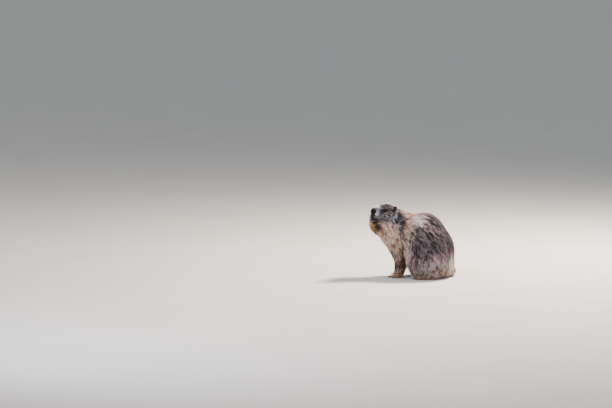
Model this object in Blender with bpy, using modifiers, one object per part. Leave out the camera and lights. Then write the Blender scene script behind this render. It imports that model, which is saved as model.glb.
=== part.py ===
"""An alpine marmot sitting on its haunches, its head raised and turned to its left.

Life size, in metres. The animal faces -Y, its left side is +X and the floor is Z = 0.
Every solid is as large as the tips of the coat. The body is shaped whole, from rounded
masses that are fused and smoothed, and it is then parted with thin cuts.
"""

import math

import bmesh
import bpy
from mathutils import Matrix, Vector

CUT = 0.0003            # gap left between two neighbouring parts
BODY_VOXEL = 0.004      # grain in which the trunk masses are fused
HEAD_VOXEL = 0.0025     # finer grain for the whole body with its head
PAW_VOXEL = 0.0013
BODY_TRIANGLES = 1320   # of the whole body, before it is parted
HEAD_TRIANGLES = 3200   # of the finer copy that the head is taken from
PAW_TRIANGLES = 190

# Trunk, neck and thighs: centre, then half sizes along X, Y and Z, then a turn about X in degrees.
MIDDLE_MASSES = {
    "rump": ((0.0, 0.080, 0.099), (0.098, 0.089, 0.110), 0),
    "seat": ((0.0, 0.103, 0.050), (0.082, 0.066, 0.056), 0),
    "hips": ((0.0, 0.066, 0.128), (0.094, 0.086, 0.102), 0),
    "loin": ((0.0, 0.044, 0.151), (0.090, 0.094, 0.105), 0),
    "ribs": ((0.0, -0.010, 0.160), (0.080, 0.088, 0.095), 0),
    "withers": ((0.0, -0.050, 0.196), (0.062, 0.064, 0.070), 0),
    "chest": ((0.0, -0.054, 0.126), (0.058, 0.046, 0.066), 24),
    "ruff": ((0.0, -0.078, 0.164), (0.054, 0.050, 0.048), 0),
    "belly": ((0.0, 0.016, 0.096), (0.078, 0.082, 0.060), 0),
    "neck": ((-0.002, -0.078, 0.218), (0.056, 0.060, 0.056), 0),
    "throat": ((-0.008, -0.112, 0.208), (0.053, 0.062, 0.054), 0),
}
# The same for one side, mirrored to the other.
SIDE_MASSES = {
    "shoulder": ((0.044, -0.040, 0.124), (0.038, 0.042, 0.060), 10),
    "elbow": ((0.047, -0.036, 0.084), (0.028, 0.032, 0.036), 0),
    "forearm": ((0.0415, -0.043, 0.062), (0.0200, 0.0215, 0.046), 10),
    "wrist": ((0.040, -0.0475, 0.034), (0.0168, 0.0180, 0.040), 8),
    "thigh": ((0.060, 0.066, 0.087), (0.050, 0.087, 0.083), 0),
    "knee": ((0.077, 0.024, 0.068), (0.032, 0.040, 0.050), 0),
    "hock": ((0.066, 0.096, 0.034), (0.028, 0.040, 0.034), 0),
}

# Head: its own frame has F forward, S to its left and U up, from the middle of the braincase.
HEAD_CENTRE = Vector((0.006, -0.101, 0.2500))
HEAD_YAW = math.radians(54)
HEAD_PITCH = math.radians(14)
HEAD_MIDDLE = {
    "braincase": ((0.000, 0.0, 0.004), (0.043, 0.040, 0.032)),
    "nape": ((-0.030, 0.0, -0.002), (0.042, 0.043, 0.037)),
    "forehead": ((0.028, 0.0, 0.009), (0.033, 0.031, 0.023)),
    "bridge": ((0.046, 0.0, 0.001), (0.0305, 0.0205, 0.0200)),
    "muzzle": ((0.051, 0.0, -0.017), (0.0245, 0.0235, 0.0190)),
    "jaw": ((0.030, 0.0, -0.032), (0.036, 0.025, 0.018)),
    "chin": ((0.053, 0.0, -0.0425), (0.0170, 0.0160, 0.0115)),
}
HEAD_SIDE = {
    "cheek": ((0.006, 0.025, -0.017), (0.037, 0.027, 0.031)),
    "jowl": ((0.022, 0.020, -0.029), (0.031, 0.021, 0.021)),
    "brow": ((0.026, 0.0185, 0.0160), (0.016, 0.0115, 0.0090)),
    "lip": ((0.057, 0.0110, -0.0250), (0.0155, 0.0120, 0.0130)),
}
# The head is what lies in this ellipsoid; the jaw is what lies below the mouth.
HEAD_ZONE = ((0.024, 0.0, -0.006), (0.068, 0.072, 0.062))
MOUTH = (0.048, -0.0360)                # its corner along F, its height along U

EYE_SPOT, EYE_RADIUS, EYE_DEPTH = (0.0265, 0.0040), 0.0085, 0.0056
EAR_PLACE, EAR_LEAN = (0.0005, 0.0425, 0.0172), 24
EAR_HALF = (0.0050, 0.0120, 0.0142)     # half sizes: thick, wide, high
NOSE_PLACE = (0.0715, 0.0, -0.0060)
NOSE_HALF = (0.0088, 0.0115, 0.0112)    # half sizes: deep, wide, high

FORE_PLACE, FORE_TURN = Vector((0.040, -0.0530, 0.0)), 6
HIND_PLACE, HIND_TURN = Vector((0.076, 0.0610, 0.0)), 9
WRIST, ANKLE = 0.030, 0.026             # heights of the cuts above the paws
# Paws in a frame of their own, toes towards -Y: centre, then half sizes.
FORE_MASSES = {
    "palm": ((0.0, 0.002, 0.0110), (0.0145, 0.0170, 0.0130)),
    "wrist": ((0.0, 0.0060, 0.0300), (0.0165, 0.0178, 0.0300)),
}
HIND_MASSES = {
    "sole": ((0.0, 0.012, 0.0120), (0.0165, 0.0440, 0.0140)),
    "ball": ((0.0, -0.016, 0.0110), (0.0180, 0.0180, 0.0125)),
    "instep": ((0.0, 0.022, 0.0200), (0.0150, 0.0300, 0.0180)),
}
# Toes: X of the root, Y of the tip, splay in degrees.
FORE_TOES = ((-0.0110, -0.0240, -9), (-0.0038, -0.0285, -3), (0.0038, -0.0285, 3),
             (0.0110, -0.0240, 9))
HIND_TOES = ((-0.0148, -0.0310, -9), (-0.0077, -0.0400, -5), (0.0, -0.0425, 0),
             (0.0077, -0.0400, 5), (0.0146, -0.0330, 9))
TOE_HALF = (0.0042, 0.0120, 0.0060)
CLAW_SIDES = 5
FORE_CLAW, HIND_CLAW = (0.0130, 0.0021), (0.0105, 0.0021)   # length, root radius

# What is parted off as each piece of a leg: centre, then half sizes.
LEG_ZONES = {
    "foreleg": ((0.0430, -0.0430, 0.0560), (0.0360, 0.0380, 0.0600)),
    "shoulder": ((0.0760, -0.0440, 0.1300), (0.0420, 0.0520, 0.0620)),
    "thigh": ((0.0950, 0.0640, 0.0800), (0.0620, 0.0940, 0.0900)),
}

TAIL_ROUTE = ((0.0, 0.112, 0.056), (-0.010, 0.136, 0.036), (-0.038, 0.146, 0.0235),
              (-0.072, 0.142, 0.0215), (-0.101, 0.122, 0.0205), (-0.120, 0.092, 0.0195),
              (-0.128, 0.062, 0.0150))
TAIL_RADII = (0.0190, 0.0215, 0.0235, 0.0235, 0.0225, 0.0200, 0.0060)
TAIL_RINGS, TAIL_SIDES = 15, 12
TAIL_TIP_AT = Vector((-0.116, 0.104, 0.020))

COLOURS = {                             # rough colours of the coat and the bare parts
    "coat": ((0.27, 0.22, 0.18), 0.85),
    "buff": ((0.52, 0.41, 0.30), 0.85),
    "dark": ((0.08, 0.07, 0.065), 0.85),
    "bare": ((0.035, 0.03, 0.03), 0.45),
    "horn": ((0.06, 0.05, 0.045), 0.4),
    "eye": ((0.02, 0.012, 0.01), 0.05),
}


def clear_scene():
    for item in list(bpy.data.objects):
        bpy.data.objects.remove(item, do_unlink=True)


def collection(name):
    made = bpy.data.collections.new(name)
    bpy.context.scene.collection.children.link(made)
    return made


def finish(look, name):
    """A new plain material of the finish, for the named part."""
    colour, roughness = COLOURS[look]
    made = bpy.data.materials.new(f"{look}_{name}")
    made.use_nodes = True
    surface = made.node_tree.nodes["Principled BSDF"]
    surface.inputs["Base Color"].default_value = (*colour, 1.0)
    surface.inputs["Roughness"].default_value = roughness
    surface.inputs["Metallic"].default_value = 0.0
    return made


def object_of(mesh, name, home, look=None):
    made = bpy.data.objects.new(name, mesh)
    home.objects.link(made)
    if look:
        mesh.materials.clear()
        mesh.materials.append(finish(look, name))
    if home is helpers:
        made.hide_render = True
        made.display_type = "WIRE"
    return made


def object_from(shape, name, home, look=None):
    """An object from a bmesh, which is used up."""
    mesh = bpy.data.meshes.new(name)
    shape.to_mesh(mesh)
    shape.free()
    return object_of(mesh, name, home, look)


def baked(item, name, home, look=None):
    """A new object with the mesh that this one shows with its modifiers."""
    bpy.context.view_layer.update()
    graph = bpy.context.evaluated_depsgraph_get()
    mesh = bpy.data.meshes.new_from_object(item.evaluated_get(graph))
    mesh.name = name
    return object_of(mesh, name, home, look)


def ellipsoid(shape, centre, half, turn=None, rings=12):
    """Adds an ellipsoid to a bmesh: turn is the matrix of its own axes."""
    place = Matrix.Translation(centre) @ (turn or Matrix.Identity(4)) @ Matrix.Diagonal((*half, 1.0))
    bmesh.ops.create_uvsphere(shape, u_segments=2 * rings, v_segments=rings, radius=1.0, matrix=place)


def fused(shape, name, voxel, passes):
    """One closed skin round all the masses in a bmesh, with its creases smoothed."""
    raw = object_from(shape, name + "_masses", helpers)
    fuse = raw.modifiers.new("fuse", "REMESH")
    fuse.mode = "VOXEL"
    fuse.voxel_size = voxel
    ease = raw.modifiers.new("ease", "SMOOTH")
    ease.factor = 0.5
    ease.iterations = passes
    made = baked(raw, name, helpers)
    bpy.data.objects.remove(raw, do_unlink=True)
    return made


def thinned(item, name, triangles):
    """A copy with about this many triangles."""
    count = sum(len(face.vertices) - 2 for face in item.data.polygons)
    thin = item.modifiers.new("thin", "DECIMATE")
    thin.ratio = min(1.0, triangles / count)
    thin.use_collapse_triangulate = True
    made = baked(item, name, helpers)
    item.modifiers.remove(thin)
    return made


def boolean(item, cutter, operation):
    """Replaces the item's mesh by its Boolean with the cutter."""
    change = item.modifiers.new("cut", "BOOLEAN")
    change.operation = operation
    change.solver = "EXACT"
    change.object = cutter
    bpy.context.view_layer.update()
    graph = bpy.context.evaluated_depsgraph_get()
    mesh = bpy.data.meshes.new_from_object(item.evaluated_get(graph))
    item.modifiers.remove(change)
    mesh.materials.clear()
    for slot in item.data.materials:
        mesh.materials.append(slot)
    for face in mesh.polygons:
        face.material_index = 0
    item.data = mesh
    return item


def islands(shape):
    """The faces of a bmesh, in lists that hang together."""
    left = set(shape.faces)
    found = []
    while left:
        group, edge_of = [], [left.pop()]
        while edge_of:
            face = edge_of.pop()
            group.append(face)
            near = {other for edge in face.edges for other in edge.link_faces} & left
            left -= near
            edge_of.extend(near)
        found.append(group)
    return sorted(found, key=lambda group: -sum(face.calc_area() for face in group))


def tidied(item):
    """Keeps the one main body of a part, without crumbs from its cuts, in triangles."""
    shape = bmesh.new()
    shape.from_mesh(item.data)
    crumbs = [face for group in islands(shape)[1:] for face in group]
    bmesh.ops.delete(shape, geom=crumbs, context="FACES")
    bmesh.ops.triangulate(shape, faces=shape.faces[:])
    shape.to_mesh(item.data)
    shape.free()


def grown(item, by=CUT):
    """A helper copy of a piece, swollen by the gap round it."""
    swell = item.modifiers.new("swell", "DISPLACE")
    swell.strength = by
    swell.mid_level = 0.0
    made = baked(item, item.name + "_seat", helpers)
    item.modifiers.remove(swell)
    return made


def part_off(rest, cutter, name, look, source=None):
    """Takes the part inside the cutter off the rest, with a thin cut between them."""
    part = object_of((source or rest).data.copy(), name, model, look)
    boolean(part, cutter, "INTERSECT")
    boolean(rest, grown(cutter), "DIFFERENCE")
    return part


def box_cutter(name, low, high, frame=None):
    shape = bmesh.new()
    low, high = Vector(low), Vector(high)
    place = Matrix.Translation((low + high) / 2) @ Matrix.Diagonal((*(high - low), 1.0))
    bmesh.ops.create_cube(shape, size=1.0, matrix=(frame or Matrix.Identity(4)) @ place)
    return object_from(shape, name, helpers)


def round_cutter(name, centre, half, rings=8):
    shape = bmesh.new()
    ellipsoid(shape, centre, half, rings=rings)
    return object_from(shape, name, helpers)


def on_floor(item):
    """Flattens what reaches under the floor, into a flat at floor level."""
    shape = bmesh.new()
    shape.from_mesh(item.data)
    cut = bmesh.ops.bisect_plane(
        shape, geom=shape.verts[:] + shape.edges[:] + shape.faces[:],
        plane_co=(0, 0, 0), plane_no=(0, 0, -1), clear_outer=True)
    rim = [edge for edge in cut["geom_cut"] if isinstance(edge, bmesh.types.BMEdge)]
    bmesh.ops.holes_fill(shape, edges=rim, sides=0)
    bmesh.ops.triangulate(shape, faces=shape.faces[:])
    bmesh.ops.recalc_face_normals(shape, faces=shape.faces[:])
    shape.to_mesh(item.data)
    shape.free()
    return item


def head_frame():
    """The head's own frame: its columns are forward, left and up."""
    turn = Matrix.Rotation(HEAD_YAW, 4, "Z")
    lift = Matrix.Rotation(-HEAD_PITCH, 4, "X")
    axes = Matrix(((0, 1, 0, 0), (-1, 0, 0, 0), (0, 0, 1, 0), (0, 0, 0, 1)))
    return Matrix.Translation(HEAD_CENTRE) @ turn @ lift @ axes


def body_blank():
    """The body without paws, tail, ears, eyes and nose, as one smooth closed skin."""
    shape = bmesh.new()
    for side in (1, -1):
        masses = SIDE_MASSES if side < 0 else {**MIDDLE_MASSES, **SIDE_MASSES}
        for (x, y, z), half, tilt in masses.values():
            ellipsoid(shape, (x * side, y, z), half, Matrix.Rotation(math.radians(tilt), 4, "X"))
    trunk = fused(shape, "trunk_blank", BODY_VOXEL, 14)
    whole = bmesh.new()
    whole.from_mesh(trunk.data)
    frame = head_frame()
    axes = frame.to_3x3().to_4x4()
    for side in (1, -1):
        masses = HEAD_SIDE if side < 0 else {**HEAD_MIDDLE, **HEAD_SIDE}
        for (f, s, u), half in masses.values():
            ellipsoid(whole, frame @ Vector((f, s * side, u)), half, axes)
    return fused(whole, "body_blank", HEAD_VOXEL, 6)


def paw_frame(place, turn, side):
    """A paw's frame on the floor, turned outwards by the angle."""
    spot = Matrix.Translation((place.x * side, place.y, place.z))
    return spot @ Matrix.Rotation(math.radians(turn * side), 4, "Z") @ Matrix.Diagonal((side, 1, 1, 1))


def paw(name, masses, toes, frame, top):
    """A paw with its toes, flat on the floor and cut level at the top."""
    shape = bmesh.new()
    for centre, half in masses.values():
        ellipsoid(shape, centre, half)
    for x, tip, splay in toes:
        turn = Matrix.Rotation(math.radians(splay), 4, "Z")
        dip = Matrix.Rotation(math.radians(8), 4, "X")
        middle = Vector((x, tip, 0.0065)) + turn @ Vector((0, TOE_HALF[1], 0))
        ellipsoid(shape, middle, TOE_HALF, turn @ dip, rings=8)
    blank = fused(shape, name + "_blank", PAW_VOXEL, 4)
    blank.data.transform(frame)
    if frame.determinant() < 0:
        blank.data.flip_normals()
    made = object_of(thinned(blank, name + "_thin", PAW_TRIANGLES).data, name, model, "buff")
    above = box_cutter(name + "_top", (-0.3, -0.3, top - CUT / 2), (0.3, 0.3, 0.3))
    boolean(made, above, "DIFFERENCE")
    return on_floor(made)


def claw(name, root, splay, size, frame, host):
    """A claw that arches forwards and down from a toe, seated in it."""
    length, radius = size
    shape = bmesh.new()
    rings = []
    for step in range(4):
        share = step / 4
        drop = math.radians(-20 + 62 * share)
        middle = Vector((0, -length * share, 0.0008 - length * 0.42 * share * share))
        across, high = Vector((1, 0, 0)), Vector((0, -math.sin(drop), math.cos(drop)))
        thick = radius * (1 - share) ** 0.7
        ring = []
        for side in range(CLAW_SIDES):
            angle = math.tau * side / CLAW_SIDES
            ring.append(shape.verts.new(
                middle + across * thick * 0.8 * math.cos(angle) + high * thick * math.sin(angle)))
        rings.append(ring)
    point = shape.verts.new((0, -length, 0.0008 - length * 0.42))
    for near, far in zip(rings, rings[1:]):
        for side in range(CLAW_SIDES):
            shape.faces.new((near[side], near[side - 1], far[side - 1], far[side]))
    for side in range(CLAW_SIDES):
        shape.faces.new((rings[-1][side], rings[-1][side - 1], point))
    shape.faces.new(rings[0])
    turn = Matrix.Translation(root) @ Matrix.Rotation(math.radians(splay), 4, "Z")
    shape.transform(frame @ turn)
    bmesh.ops.recalc_face_normals(shape, faces=shape.faces[:])
    bmesh.ops.triangulate(shape, faces=shape.faces[:])
    made = object_from(shape, name, model, "horn")
    boolean(host, grown(made), "DIFFERENCE")
    return made


def clawed_paw(kind, side_name, masses, toes, place, turn, top, claws):
    """A paw and its claws on one side."""
    side = 1 if side_name == "left" else -1
    frame = paw_frame(place, turn, side)
    made = paw(f"{kind}foot_{side_name}", masses, toes, frame, top)
    for number, (x, tip, splay) in enumerate(toes, 1):
        root = Vector((x, tip + 0.0022, 0.0068))
        claw(f"{kind}_claw_{side_name}_{number}", root, splay, claws, frame, made)
    return made


def along(points, share):
    """A point on the smooth curve through the points."""
    place = share * (len(points) - 1)
    at = min(int(place), len(points) - 2)
    t = place - at
    a, b, c, d = (points[max(0, min(len(points) - 1, at + k))] for k in (-1, 0, 1, 2))
    return 0.5 * (2 * b + (c - a) * t + (2 * a - 5 * b + 4 * c - d) * t ** 2
                  + (3 * b - a - 3 * c + d) * t ** 3)


def tail_blank():
    """The tail as a tapered tube along its route on the floor."""
    route = [Vector(point) for point in TAIL_ROUTE]
    shape = bmesh.new()
    rings = []
    for step in range(TAIL_RINGS):
        share = step / (TAIL_RINGS - 1)
        middle = along(route, share)
        ahead = (along(route, min(1, share + 0.01)) - along(route, max(0, share - 0.01))).normalized()
        across = ahead.cross(Vector((0, 0, 1))).normalized()
        high = across.cross(ahead)
        thick = along(TAIL_RADII, share)
        ring = []
        for side in range(TAIL_SIDES):
            angle = math.tau * side / TAIL_SIDES
            ring.append(shape.verts.new(
                middle + thick * (across * math.cos(angle) + high * math.sin(angle))))
        rings.append(ring)
    for near, far in zip(rings, rings[1:]):
        for side in range(TAIL_SIDES):
            shape.faces.new((near[side], near[side - 1], far[side - 1], far[side]))
    for end, point in ((rings[0], route[0]), (rings[-1], route[-1])):
        middle = shape.verts.new(point)
        for side in range(TAIL_SIDES):
            shape.faces.new((end[side], end[side - 1], middle))
    bmesh.ops.recalc_face_normals(shape, faces=shape.faces[:])
    bmesh.ops.triangulate(shape, faces=shape.faces[:])
    return object_from(shape, "tail_blank", helpers)


def ear(name, side, frame, host):
    """A low rounded ear, hollowed in front and seated in the head."""
    f, s, u = EAR_PLACE
    lean = Matrix.Rotation(math.radians(-EAR_LEAN * side), 4, "X")
    open_out = Matrix.Rotation(math.radians(52 * side), 4, "Z")
    place = frame @ Matrix.Translation((f, s * side, u)) @ open_out @ lean
    shape = bmesh.new()
    ellipsoid(shape, (0, 0, 0), EAR_HALF, rings=7)
    shape.transform(place)
    made = object_from(shape, name, model, "buff")
    hollow = round_cutter(name + "_hollow", (0, 0, 0), (0.0045, 0.0086, 0.0098), rings=5)
    hollow.data.transform(place @ Matrix.Translation((0.0046, 0, 0.0012)))
    boolean(made, hollow, "DIFFERENCE")
    boolean(host, grown(made), "DIFFERENCE")
    return made


def eye(name, side, frame, host):
    """An eyeball seated in the head, its middle at a set depth under the surface."""
    f, u = EYE_SPOT
    inward = (frame.to_3x3() @ Vector((-0.35, -side, -0.15))).normalized()
    hit, spot, normal, face = host.ray_cast(frame @ Vector((f, 0, u)) - 0.08 * inward, inward)
    shape = bmesh.new()
    ellipsoid(shape, spot + EYE_DEPTH * inward, (EYE_RADIUS,) * 3, rings=6)
    made = object_from(shape, name, model, "eye")
    boolean(host, grown(made), "DIFFERENCE")
    return made


def nose(frame, host):
    """The bare nose pad with its two nostrils and the groove between them."""
    shape = bmesh.new()
    ellipsoid(shape, (0, 0, 0), NOSE_HALF, rings=6)
    shape.transform(frame @ Matrix.Translation(NOSE_PLACE))
    made = object_from(shape, "nose_pad", model, "bare")
    for side in (1, -1):
        tilt = Matrix.Rotation(math.radians(28 * side), 4, "X")
        nostril = round_cutter("nostril", (0, 0, 0), (0.0032, 0.0015, 0.0028), rings=4)
        spot = Matrix.Translation((NOSE_PLACE[0] + 0.0066, 0.0048 * side, NOSE_PLACE[2] - 0.0008))
        nostril.data.transform(frame @ spot @ tilt)
        boolean(made, nostril, "DIFFERENCE")
    boolean(host, grown(made), "DIFFERENCE")
    return made


clear_scene()
helpers = collection("cutters")
model = collection("alpine_marmot")
blank = body_blank()
trunk = on_floor(object_of(thinned(blank, "body_thin", BODY_TRIANGLES).data, "trunk", model, "coat"))
fine = thinned(blank, "head_source", HEAD_TRIANGLES)
frame = head_frame()

head_zone = round_cutter("head_zone", (0, 0, 0), HEAD_ZONE[1], rings=11)
head_zone.data.transform(frame @ Matrix.Translation(HEAD_ZONE[0]))
head = part_off(trunk, head_zone, "head", "coat", fine)
jaw_zone = box_cutter("jaw_zone", (MOUTH[0], -0.08, -0.09), (0.12, 0.08, MOUTH[1]), frame)
part_off(head, jaw_zone, "lower_jaw", "buff")
nose(frame, head)

neck_turn = Matrix.Rotation(math.radians(-38), 4, "X")
neck_zone = box_cutter("neck_zone", (-0.12, -0.20, -0.16), (0.12, 0.0, 0.16),
                       Matrix.Translation((0, -0.052, 0.190)) @ neck_turn)
part_off(trunk, neck_zone, "neck", "coat")

for side in (1, -1):
    below_wrist = box_cutter("below_wrist", (0.0, -0.13, -0.01), (0.10, -0.012, WRIST + CUT / 2))
    if side < 0:
        below_wrist.data.transform(Matrix.Diagonal((-1, 1, 1, 1)))
        below_wrist.data.flip_normals()
    boolean(trunk, below_wrist, "DIFFERENCE")

PAWS = (("fore", FORE_MASSES, FORE_TOES, FORE_PLACE, FORE_TURN, WRIST, FORE_CLAW),
        ("hind", HIND_MASSES, HIND_TOES, HIND_PLACE, HIND_TURN, ANKLE, HIND_CLAW))
thighs = {}
for name, side in (("left", 1), ("right", -1)):
    eye("eye_" + name, side, frame, head)
    ear("ear_" + name, side, frame, head)
    for kind, masses, toes, place, turn, top, claws in PAWS:
        foot = clawed_paw(kind, name, masses, toes, place, turn, top, claws)
        if kind == "hind":
            boolean(trunk, grown(foot), "DIFFERENCE")
    for part, (centre, half) in LEG_ZONES.items():
        x, y, z = centre
        zone = round_cutter(part + "_zone", (x * side, y, z), half)
        made = part_off(trunk, zone, f"{part}_{name}", "coat")
        if part == "thigh":
            thighs[name] = made

tail = object_of(on_floor(tail_blank()).data, "tail", model, "coat")
for near in (trunk, thighs["right"], bpy.data.objects["hindfoot_right"]):
    boolean(tail, grown(near), "DIFFERENCE")
tip_zone = box_cutter("tip_zone", (-0.06, -0.09, -0.05), (0.06, 0.0, 0.06),
                      Matrix.Translation(TAIL_TIP_AT) @ Matrix.Rotation(math.radians(-28), 4, "Z"))
part_off(tail, tip_zone, "tail_tip", "dark")

for item in model.objects:
    tidied(item)
spots = [vertex.co for item in model.objects for vertex in item.data.vertices]
middle = [(min(spot[axis] for spot in spots) + max(spot[axis] for spot in spots)) / 2 for axis in (0, 1)]
for item in model.objects:
    item.data.transform(Matrix.Translation((-middle[0], -middle[1], 0)))
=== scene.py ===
import math

import bmesh
import bpy
import numpy as np
from mathutils import Matrix, Vector
from mathutils.bvhtree import BVHTree
from mathutils.kdtree import KDTree


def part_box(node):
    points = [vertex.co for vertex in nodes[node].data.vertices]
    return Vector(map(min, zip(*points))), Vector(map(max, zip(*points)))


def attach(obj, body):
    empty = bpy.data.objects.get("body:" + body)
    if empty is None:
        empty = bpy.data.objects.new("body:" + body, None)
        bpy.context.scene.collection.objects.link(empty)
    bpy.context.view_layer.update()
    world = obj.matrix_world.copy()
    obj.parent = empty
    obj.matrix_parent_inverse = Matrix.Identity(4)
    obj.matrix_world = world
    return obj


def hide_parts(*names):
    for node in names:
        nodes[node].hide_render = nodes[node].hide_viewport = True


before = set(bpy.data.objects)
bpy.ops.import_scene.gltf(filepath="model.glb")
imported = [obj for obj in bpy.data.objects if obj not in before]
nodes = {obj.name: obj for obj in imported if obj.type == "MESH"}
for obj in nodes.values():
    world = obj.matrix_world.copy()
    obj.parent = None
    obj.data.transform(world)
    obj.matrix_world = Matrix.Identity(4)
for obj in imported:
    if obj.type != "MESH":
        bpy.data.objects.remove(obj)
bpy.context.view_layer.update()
rng = np.random.default_rng(1688)
mm = 0.001

# The body's own middle line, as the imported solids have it, and the head's own frame.
bodyShift = Vector((0.014894, 0.001042, 0.0))
headPlace = {"centre": (0.006, -0.101, 0.2500), "yaw": 54, "pitch": 14}


def headFrame():
    turn = Matrix.Rotation(math.radians(headPlace["yaw"]), 4, "Z")
    lift = Matrix.Rotation(math.radians(-headPlace["pitch"]), 4, "X")
    axes = Matrix(((0, 1, 0, 0), (-1, 0, 0, 0), (0, 0, 1, 0), (0, 0, 0, 1)))
    return Matrix.Translation(Vector(headPlace["centre"]) + bodyShift) @ turn @ lift @ axes


headMatrix = headFrame()
headRotation = headMatrix.to_3x3()
headInverse = np.array(headMatrix.inverted())
headTurn = np.array(headRotation)


def inHead(points):  # forward, left and up of the middle of the braincase
    return points @ headInverse[:3, :3].T + headInverse[:3, 3]


def inBody(points):  # the maker's own frame, before the part was centred
    return points - np.array(bodyShift)


def linear(code):  # an sRGB hex colour as linear numbers
    parts = np.array([int(code[i:i + 2], 16) for i in (1, 3, 5)]) / 255
    return np.where(parts <= 0.04045, parts / 12.92, ((parts + 0.055) / 1.055) ** 2.4)


def linearAll(codes):  # a row of such colours
    return np.array([linear(code) for code in codes.split()])


def smoothStep(low, high, value):
    t = np.clip((value - low) / (high - low), 0, 1)
    return t * t * (3 - 2 * t)


def unit(vectors):
    return vectors / np.maximum(np.linalg.norm(vectors, axis=-1, keepdims=True), 1e-9)


def waves(points, scale, seed):  # a cheap smooth noise of about -1 to 1
    local = np.random.default_rng(seed)
    total = np.zeros(len(points))
    for octave in range(5):
        way = unit(local.normal(size=3)) * (2 * math.pi / scale) * (0.7 + 0.25 * octave)
        total += np.sin(points @ way + local.uniform(0, 6.28))
    return total / 2.6


def placed(name, data):  # a new object in the scene
    made = bpy.data.objects.new(name, data)
    bpy.context.scene.collection.objects.link(made)
    return made


def finished(shape, name, material=None):  # a bmesh as a smooth object at the origin
    mesh = bpy.data.meshes.new(name)
    shape.to_mesh(mesh)
    shape.free()
    mesh.polygons.foreach_set("use_smooth", np.ones(len(mesh.polygons), bool))
    if material:
        mesh.materials.append(material)
    return placed(name, mesh)


# Materials
def join(tree, node, links):
    for key, source in links.items():
        tree.links.new(source, node.inputs[key])


def addNode(tree, kind, settings=None, links=None):
    made = tree.nodes.new("ShaderNode" + kind)
    for key, value in (settings or {}).items():
        if isinstance(key, int) or key in made.inputs:
            made.inputs[key].default_value = value
        else:
            setattr(made, key, value)
    join(tree, made, links or {})
    return made


def newMaterial(name, surface):
    made = bpy.data.materials.new(name)
    made.use_nodes = True
    tree = made.node_tree
    shader = tree.nodes["Principled BSDF"]
    for key, value in surface.items():
        shader.inputs[key].default_value = value
    return made, tree, shader


def addTones(tree, fac, low, high):  # the colours between two tones
    ramp = addNode(tree, "ValToRGB", None, {"Fac": fac})
    for element, code in zip(ramp.color_ramp.elements, (low, high)):
        element.color = (*linear(code), 1)
    return ramp.outputs["Color"]


def addRelief(tree, shader, fac, low, high, height, strength, deep):
    # Roughness between two values and a fine bump, both from textures.
    rough = addNode(tree, "MapRange", {"To Min": low, "To Max": high}, {"Value": fac})
    bump = addNode(tree, "Bump", {"Strength": strength, "Distance": deep}, {"Height": height})
    join(tree, shader, {"Roughness": rough.outputs["Result"], "Normal": bump.outputs["Normal"]})


def coatMaterial(name, rough, bump):
    # Guard hair: keratin strands, a soft broken gloss along each; colour comes from the markings.
    made, tree, shader = newMaterial(name, {
        "Roughness": rough, "Specular IOR Level": 0.15, "Sheen Weight": 0.03,
        "Sheen Roughness": 0.5})
    place = addNode(tree, "TexCoord")
    colour = addNode(tree, "Attribute", {"attribute_name": "coatColour"})
    grain = addNode(tree, "TexNoise", {"Scale": 900.0, "Detail": 2.0},
                    {"Vector": place.outputs["Object"]})  # about 1 mm, one hair bundle
    shade = addNode(tree, "MapRange", {"To Min": 0.82, "To Max": 1.18},
                    {"Value": grain.outputs["Fac"]})
    mixed = addNode(tree, "VectorMath", {"operation": "SCALE"},
                    {0: colour.outputs["Color"], "Scale": shade.outputs["Result"]})
    join(tree, shader, {"Base Color": mixed.outputs["Vector"]})
    if bump:
        ridge = addNode(tree, "Bump", {"Strength": bump, "Distance": 0.0006},
                        {"Height": grain.outputs["Fac"]})
        join(tree, shader, {"Normal": ridge.outputs["Normal"]})
    return made


def noseMaterial():
    # Rhinarium: hairless moist skin, a fine cobbled grain of about 0.7 mm with faint highlights.
    made, tree, shader = newMaterial("moistNoseSkin", {"Coat Weight": 0.02, "Coat Roughness": 0.2})
    place = addNode(tree, "TexCoord")
    cobble = addNode(tree, "TexVoronoi", {"Scale": 1400.0}, {"Vector": place.outputs["Object"]})
    soft = addNode(tree, "TexNoise", {"Scale": 260.0, "Detail": 3.0},
                   {"Vector": place.outputs["Object"]})  # tone that drifts over about 4 mm
    # Painted shade darkens the inside of the nostrils, where the gloss is also taken away.
    hollow = addNode(tree, "Attribute", {"attribute_name": "nostrilShade"})
    tone = addNode(tree, "VectorMath", {"operation": "SCALE"}, {
        0: addTones(tree, soft.outputs["Fac"], "#060505", "#120E0F"),
        "Scale": hollow.outputs["Fac"]})
    gloss = addNode(tree, "Math", {"operation": "MULTIPLY", 1: 0.14}, {0: hollow.outputs["Fac"]})
    join(tree, shader, {
        "Base Color": tone.outputs["Vector"], "Specular IOR Level": gloss.outputs["Value"]})
    addRelief(tree, shader, soft.outputs["Fac"], 0.32, 0.55, cobble.outputs["Distance"], 0.5, 0.0003)
    return made


def eyeMaterial():
    # Cornea over a near-black iris: a very smooth wet film, clear highlights.
    made, tree, shader = newMaterial("wetDarkEye", {
        "Roughness": 0.05, "Specular IOR Level": 0.22, "IOR": 1.38})
    colour = addNode(tree, "Attribute", {"attribute_name": "eyeColour"})
    join(tree, shader, {"Base Color": colour.outputs["Color"]})
    return made


def clawMaterial():
    # Claw horn: dark keratin in long fibres about 0.7 mm wide, worn paler here and there.
    made, tree, shader = newMaterial("clawHorn", {"Specular IOR Level": 0.45})
    place = addNode(tree, "TexCoord")
    stretch = addNode(tree, "Mapping", {"Scale": (1400.0, 160.0, 1400.0)},
                      {"Vector": place.outputs["Object"]})
    fibre = addNode(tree, "TexNoise", {"Scale": 1.0, "Detail": 3.0},
                    {"Vector": stretch.outputs["Vector"]}).outputs["Fac"]
    join(tree, shader, {"Base Color": addTones(tree, fibre, "#1B1512", "#54463A")})
    addRelief(tree, shader, fibre, 0.3, 0.5, fibre, 0.35, 0.0002)
    return made


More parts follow.
